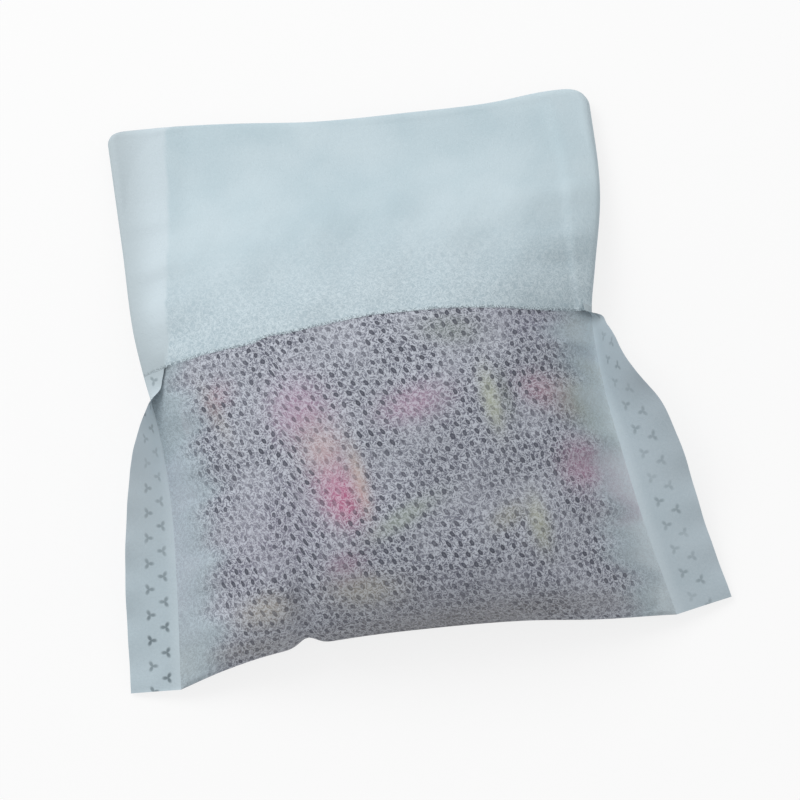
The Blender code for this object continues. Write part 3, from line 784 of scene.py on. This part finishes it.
def freeSpots():
    # places for the loose dark leaves: a seed head's spiral, wherever a leaf finds room
    taken = [(lineOf(x, y, turn, length), width) for group in ("petals", "husks", "greenLeaves")
             for x, y, turn, length, width in contents[group].values()]
    taken += [(lineOf(x, y, turn, length), contents["stem"])
              for x, y, turn, length, _ in contents["stems"].values()]
    spots, n = [], 0
    while len(spots) < flake["leaves"]:
        n += 1
        angle = n * math.radians(flake["seedAngle"])
        reach = flake["spiral"] * math.sqrt(n)
        x, y = -1 + 1.15 * reach * math.cos(angle), -15 + 0.85 * reach * math.sin(angle)
        t, v = sharesOf(x, y)
        if abs(t) > 0.8 or not 0.12 < v < 0.6:
            continue
        for number in range(flake["leafTurns"]):
            turn = (math.degrees(angle * 2.7) + 180 * number / flake["leafTurns"]) % 180
            line = lineOf(x, y, turn, flake["leafLong"])
            gaps = [np.linalg.norm(line[:, None] - other, axis=-1).min()
                    - (flake["leafWide"] + width) / 2 for other, width in taken]
            if min(gaps) > 2 * contents["clear"]:
                taken.append((line, flake["leafWide"]))
                spots.append((x, y, turn, flake["leafLong"], flake["leafWide"]))
                break
    return spots


def flakeGrid(x, y, turn, length, width, point, curl, ruffle, long, wide, depth, seed=0.0,
              over=None):
    # an oval grid pointed at one end, curled across and ruffled at its rim, laid under the
    # front panel at this depth, or over the heap at this height
    a, b = np.meshgrid(np.linspace(-1, 1, long + 1), np.linspace(-1, 1, wide + 1))
    x, y, turn, length, width, depth, seed = (
        np.asarray(k, float)[..., None, None] for k in (x, y, turn, length, width, depth, seed))
    half = width / 2 * (1 - np.abs(a) ** 2.4 * 0.86) * (1 - point * np.clip(a, 0, 1))
    half = half * (1 + 0.10 * np.sin(7 * a + 1.3 * b + seed))
    alongIt, acrossIt = a * length / 2, b * half
    c, s = np.cos(np.radians(turn)), np.sin(np.radians(turn))
    px, py = x + c * alongIt - s * acrossIt, y + s * alongIt + c * acrossIt
    lift = curl * (b * b - 0.5) + 0.3 * curl * a
    lift = lift + ruffle * np.sin(9 * a + 3 * b + seed) * np.abs(b) ** 1.5
    if over is not None:
        depth = bedDepth(px, py) - over
    return underFront(px, py, depth - lift)


def solidify(piece, thick):
    shell = piece.modifiers.new("Thickness", "SOLIDIFY")
    shell.thickness = thick * mm
    shell.offset = 0


def plantFinish(name, dark, light, roughness=0.75):
    f = Finish(name, roughness)
    place = f.add("ShaderNodeTexCoord", output=3)
    broad = f.noise(place, 260.0, 3.0)
    fine = f.noise(place, 1500.0, 3.0, 0.6)
    base = f.mix((broad * 0.6 + fine * 0.4).step(0.35, 0.65), srgb(dark), srgb(light))
    f.feed(Base_Color=base)
    bump = f.add("ShaderNodeBump", None, {"Strength": 0.6, "Distance": 0.0002, "Height": fine})
    f.feed(Normal=bump)
    return f.material


petalFinish = plantFinish("pink_petal", "A81048", "E84A86", 0.6)
huskFinish = plantFinish("pale_husk", "A8965C", "DDD6A8")
greenFinish = plantFinish("green_leaf", "24361A", "5F7C3C")
leafFinish = plantFinish("dark_tea_leaf", "15110F", "4A4038")

print("petals, husks and leaves")
middleDepth = bag["web"] / 2 + contents["clear"] + contents["layer"] / 2
groups = (("petals", petalFinish, "pink_petal", 0.25, 0.45, 0.12),
          ("husks", huskFinish, "pale_husk", 0.1, -0.27, 0.05),
          ("greenLeaves", greenFinish, "green_leaf", 0.3, 0.27, 0.05),
          ("leaves", leafFinish, "dark_leaf", 0.5, 0.45, 0.08))
contents["leaves"] = {f"dark_leaf_{k:02d}": spot for k, spot in enumerate(freeSpots(), 1)}
for group, finish, slot, point, curl, ruffle in groups:
    for number, (node, (x, y, turn, length, width)) in enumerate(contents[group].items()):
        points = flakeGrid(x, y, turn, length, width, point, curl, ruffle, flake["long"],
                           flake["wide"], middleDepth, 1.7 * number)
        piece = pieceOf("ruffled_" + node, meshOf(node, [{"points": points}]), finish, [node])
        solidify(piece, flake["thick"])


def stemGrid(x, y, turn, length, bend):
    # rings along a slightly bent line, closed by shrinking the end rings to a point
    s = np.linspace(-1, 1, 25)
    c, n = math.cos(math.radians(turn)), math.sin(math.radians(turn))
    px = x + c * s * length / 2 - n * bend * (1 - s * s)
    py = y + n * s * length / 2 + c * bend * (1 - s * s)
    line = underFront(px, py, np.full_like(px, middleDepth))
    thick = contents["stem"] / 2 * (1 - 0.25 * s) * (0.9 + 0.1 * np.sin(11 * s))
    thick[[0, -1]] = 0
    line = np.concatenate([line[:1], line, line[-1:]])
    thick = np.concatenate([thick[:1], [thick[1] * 0.97], thick[1:-1], [thick[-2] * 0.97],
                            thick[-1:]])
    run = np.gradient(line, axis=0)
    run = run / np.linalg.norm(run, axis=1, keepdims=True)
    side = np.stack([-run[:, 1], run[:, 0], 0 * run[:, 0]], -1)
    top = np.cross(run, side)
    angle = np.linspace(0, 2 * math.pi, 13)
    ring = (side[:, None] * np.cos(angle)[:, None] + top[:, None] * np.sin(angle)[:, None])
    grid = line[:, None] + ring * thick[:, None, None]
    grid[:, -1] = grid[:, 0]
    return grid


stemFinish = plantFinish("pale_stem", "B5AC78", "E4E0BC")
for node, (x, y, turn, length, bend) in contents["stems"].items():
    finish, slot = (greenFinish, "green_leaf") if node == "green_stem" else (stemFinish, "pale_husk")
    pieceOf("round_" + node, meshOf(node, [{"points": stemGrid(x, y, turn, length, bend)}]), finish,
            [node])

# The heap of leaves: its rough top lies just under the single pieces, and crumbs lie on it
heap = {"acrossBed": 0.9, "bedFrom": 0.045, "bedTo": 0.8, "columns": 120, "rows": 100, "ridge": 0.5,
        "crumbs": 420, "crumbThick": 0.12, "spiral": 1.62}


def bedDepth(x, y):
    # under the front panel: ridges, with finer roughness over them
    ridges = np.sin(0.75 * x + 1.3) * np.sin(0.7 * y + 0.4 + 0.25 * x)
    fine = np.sin(3.1 * x + 2 * np.sin(1.3 * y)) * np.sin(2.7 * y + 2 * np.sin(1.1 * x))
    rough = heap["ridge"] * (1 + ridges) + 0.12 * (1 + fine)
    return bag["web"] / 2 + 2 * contents["clear"] + contents["layer"] + rough


def bedGrids():
    # an oval carpet just under the leaves, its underside just over the back panel
    a, b = np.meshgrid(np.linspace(-1, 1, heap["columns"] + 1), np.linspace(-1, 1, heap["rows"] + 1))
    t = heap["acrossBed"] * a * np.sqrt(1 - 0.2 * b * b)
    v = heap["bedFrom"] + (heap["bedTo"] - heap["bedFrom"]) * (1 + b * np.sqrt(1 - 0.2 * a * a)) / 2
    x, y = planOf(t, v)
    top = underFront(x, y, bedDepth(x, y))
    low = stacked(t, v, backHeight(t, v) + bag["web"] / 2 + 1.5 * contents["clear"])
    rim = np.maximum(np.abs(a), np.abs(b))[..., None]
    swell = np.sqrt(1 - 0.93 * rim**5)
    swell[rim >= 1] = 0
    middle = (top + low) / 2
    return [{"points": middle + (top - middle) * swell},
            {"points": middle + (low - middle) * swell, "faceDown": True}]


def crumbGrids():
    # little slabs on a golden spiral, each lying on the ridges
    n = np.arange(1, heap["crumbs"] + 1)
    angle = n * math.radians(flake["seedAngle"])
    reach = heap["spiral"] * np.sqrt(n)
    x, y = -1 + 1.1 * reach * np.cos(angle), -14 + 0.9 * reach * np.sin(angle)
    t, v = sharesOf(x, y)
    inside = (np.abs(t) < 0.78) & (v > 0.12) & (v < 0.62)
    x, y, angle, n = x[inside], y[inside], angle[inside], n[inside]
    size = 2.0 + 1.6 * np.sin(n * 1.7) ** 2
    both = []
    for lift in (0.02, heap["crumbThick"]):
        grid = flakeGrid(x, y, np.degrees(angle * 2.7) % 180, size, 0.5 * size, 0.5, 0.1, 0.02, 4, 2,
                         0.0, n * 1.1, over=lift)
        both.append(grid)
    middle = (both[0] + both[1]) / 2
    for grid in both:
        grid[:, [0, -1]], grid[:, :, [0, -1]] = middle[:, [0, -1]], middle[:, :, [0, -1]]
    return [{"points": grid, "faceDown": down} for down, grids in ((True, both[0]), (False, both[1]))
            for grid in grids]


print("heap of leaves")
pieceOf("leaf_heap", meshOf("leaf_heap", bedGrids() + crumbGrids()), leafFinish,
        ["tea_leaf_bed"])

# Floor, light and camera
studio = {"world": 0.57, "key": 4.4, "keyAt": (-0.36, 0.52, 0.66), "keySize": 0.55,
          "floorHalf": 2, "floorAt": -2e-5, "floorGlow": 0.8}

floorMesh = bpy.data.meshes.new("floor")
corners = [(x * studio["floorHalf"], y * studio["floorHalf"], studio["floorAt"])
           for x, y in ((-1, -1), (1, -1), (1, 1), (-1, 1))]
floorMesh.from_pydata(corners, [], [(0, 1, 2, 3)])
floor = bpy.data.objects.new("floor", floorMesh)
bpy.context.scene.collection.objects.link(floor)
floorFinish = Finish("white_floor", 1.0)
floorFinish.shader.inputs["Base Color"].default_value = (0.9, 0.9, 0.9, 1)
floorFinish.shader.inputs["Specular IOR Level"].default_value = 0
# the camera sees the floor paler than it lights the bag, and still with its shadow
seen = floorFinish.add("ShaderNodeLightPath", output=0)
white = floorFinish.add("ShaderNodeEmission", None, {"Color": (1, 1, 1, 1), "Strength": 1.0})
plainFloor = Wire(floorFinish, floorFinish.shader.outputs[0])
inputs = {0: seen * studio["floorGlow"], 1: plainFloor, 2: white}
mixed = floorFinish.add("ShaderNodeMixShader", None, inputs)
floorFinish.tree.links.new(mixed.socket, floorFinish.tree.nodes["Material Output"].inputs[0])
floorMesh.materials.append(floorFinish.material)

world = bpy.data.worlds.new("studio")
bpy.context.scene.world = world
world.use_nodes = True
sky = world.node_tree.nodes["Background"]
paths = world.node_tree.nodes.new("ShaderNodeLightPath")
shown = world.node_tree.nodes.new("ShaderNodeMath")
shown.operation = "MAXIMUM"
world.node_tree.links.new(paths.outputs["Is Camera Ray"], shown.inputs[0])
world.node_tree.links.new(paths.outputs["Is Glossy Ray"], shown.inputs[1])
power = world.node_tree.nodes.new("ShaderNodeMapRange")
power.inputs["To Min"].default_value = studio["world"]
power.inputs["To Max"].default_value = 1.0
world.node_tree.links.new(shown.outputs[0], power.inputs["Value"])
world.node_tree.links.new(power.outputs[0], sky.inputs["Strength"])
sky.inputs["Color"].default_value = (1, 1, 1, 1)

keyData = bpy.data.lights.new("key", "AREA")
keyData.energy = studio["key"]
keyData.size = studio["keySize"]
key = bpy.data.objects.new("key", keyData)
key.location = studio["keyAt"]
key.rotation_euler = (-key.location).to_track_quat("-Z", "Y").to_euler()
bpy.context.scene.collection.objects.link(key)

# The photograph looks down at 75 degrees, a little turned
view = {"distance": 500.0, "elevation": 75.0, "roll": 7.5, "pxPerMm": 6.3, "aim": (0.60, -3.35)}
tilt, roll = math.radians(90 - view["elevation"]), math.radians(view["roll"])
cameraData = bpy.data.cameras.new("camera")
cameraData.sensor_width = 36
cameraData.lens = 36 * view["pxPerMm"] * view["distance"] / 800
cameraData.clip_start, cameraData.clip_end = 0.01, 20
camera = bpy.data.objects.new("camera", cameraData)
bpy.context.scene.collection.objects.link(camera)
bpy.context.scene.camera = camera
right = np.array([math.cos(roll), -math.sin(roll) * math.cos(tilt), -math.sin(roll) * math.sin(tilt)])
upward = np.array([math.sin(roll), math.cos(roll) * math.cos(tilt), math.cos(roll) * math.sin(tilt)])
away = np.array([0, -math.sin(tilt), math.cos(tilt)])
spot = away * view["distance"] + right * view["aim"][0] + upward * view["aim"][1]
camera.location = (spot + np.array([*bag["middle"], 0])) * mm
camera.rotation_mode = "QUATERNION"
camera.rotation_quaternion = Quaternion((1, 0, 0), tilt) @ Quaternion((0, 0, 1), -roll)

bpy.context.scene.view_settings.view_transform = "Standard"
